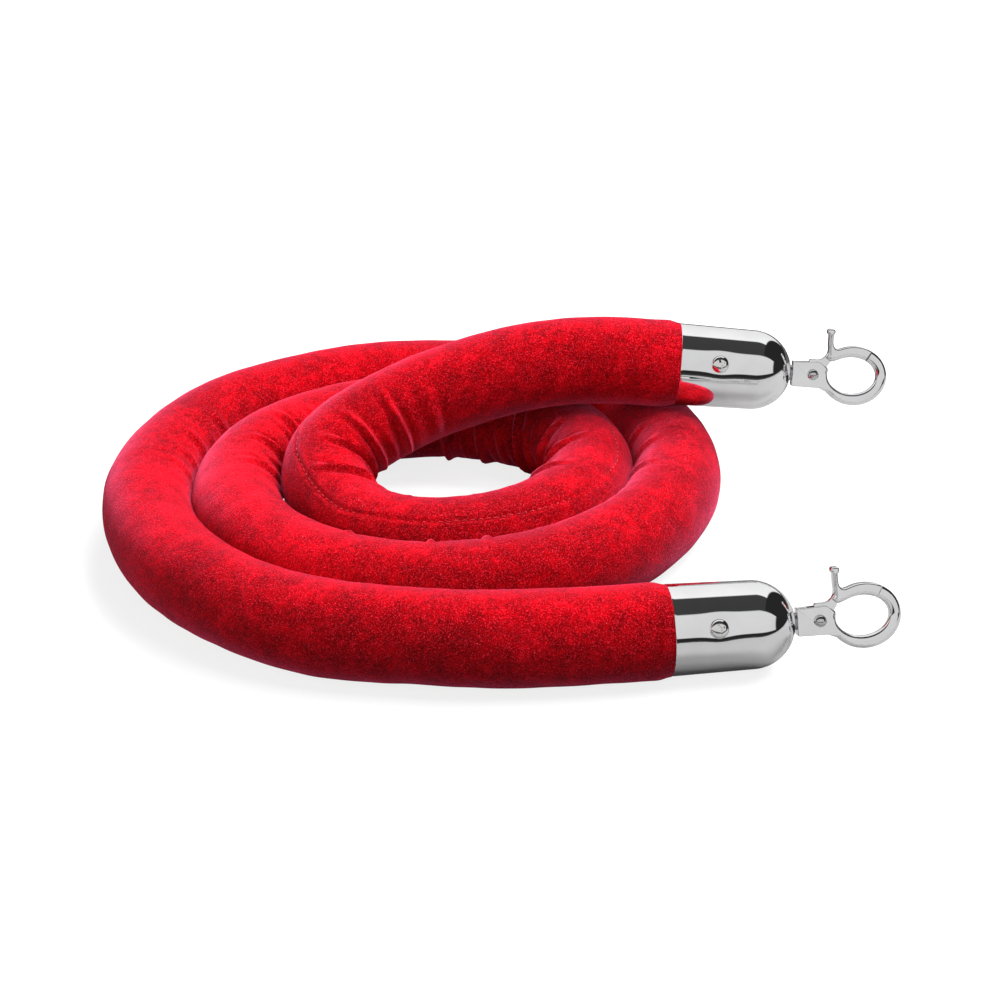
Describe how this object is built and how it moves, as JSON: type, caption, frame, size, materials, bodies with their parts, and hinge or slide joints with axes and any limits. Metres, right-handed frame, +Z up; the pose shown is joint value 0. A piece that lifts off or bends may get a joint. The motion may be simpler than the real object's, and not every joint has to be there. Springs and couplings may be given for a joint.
{
  "type": "velvet barrier rope",
  "caption": "Thick velvet-covered queue rope lying in a loose flat coil, with domed metal end caps and swivelling trigger hooks that clip to barrier posts.",
  "frame": {"origin": "on the surface that the rope lies on, under the centre of the box around the two metal end fittings", "axes": "+Z up; +X the way both rope ends point out of the coil; +Y from the lower rope end, A, towards the upper rope end, B"},
  "size_m": [0.3388, 0.2734, 0.0755],
  "materials": {
    "velvet": "crimson crushed-pile velvet",
    "core_foam": "pale wadded foam",
    "cap_chrome": "polished chrome plate",
    "plug_wood": "turned plain wood",
    "screw_steel": "nickel-plated",
    "washer_steel": "zinc-plated",
    "collar_steel": "nickel-plated",
    "stud_steel": "zinc-plated",
    "hook_chrome": "polished chrome plate",
    "rivet_steel": "polished",
    "gate_chrome": "polished chrome plate",
    "spring_steel": "drawn spring wire"
  },
  "bodies": {
    "rope": {"velvet_sleeve": "velvet", "foam_core": "core_foam", "end_cap_a": "cap_chrome", "cap_plug_a": "plug_wood", "cap_screws_a": "screw_steel", "stud_washer_a": "washer_steel", "end_cap_b": "cap_chrome", "cap_plug_b": "plug_wood", "cap_screws_b": "screw_steel", "stud_washer_b": "washer_steel"},
    "hook_a": {"swivel_collar_a": "collar_steel", "swivel_stud_a": "stud_steel", "hook_body_a": "hook_chrome", "gate_rivet_a": "rivet_steel", "gate_spring_a": "spring_steel"},
    "gate_a": {"gate_lever_a": "gate_chrome"},
    "hook_b": {"swivel_collar_b": "collar_steel", "swivel_stud_b": "stud_steel", "hook_body_b": "hook_chrome", "gate_rivet_b": "rivet_steel", "gate_spring_b": "spring_steel"},
    "gate_b": {"gate_lever_b": "gate_chrome"}
  },
  "joints": [
    {"name": "swivel_a", "type": "hinge", "parent": "rope", "child": "hook_a", "pos_m": [0.00487, -0.0793, 0.01835], "axis": [0.991, 0.134, 0], "continuous": true},
    {"name": "gate_a_open", "type": "hinge", "parent": "hook_a", "child": "gate_a", "pos_m": [0.01488, -0.07791, 0.01845], "axis": [0.1259, -0.9312, 0.342], "range_deg": [0, 35], "stiffness_Nm_per_rad": 0.02, "springref_deg": -28.65},
    {"name": "swivel_b", "type": "hinge", "parent": "rope", "child": "hook_b", "pos_m": [0.01793, 0.08443, 0.04984], "axis": [0.9962, 0.0087, -0.0872], "continuous": true},
    {"name": "gate_b_open", "type": "hinge", "parent": "hook_b", "child": "gate_b", "pos_m": [0.028, 0.08456, 0.04905], "axis": [0.038, -0.9394, 0.3407], "range_deg": [0, 35], "stiffness_Nm_per_rad": 0.02, "springref_deg": -28.65}
  ]
}
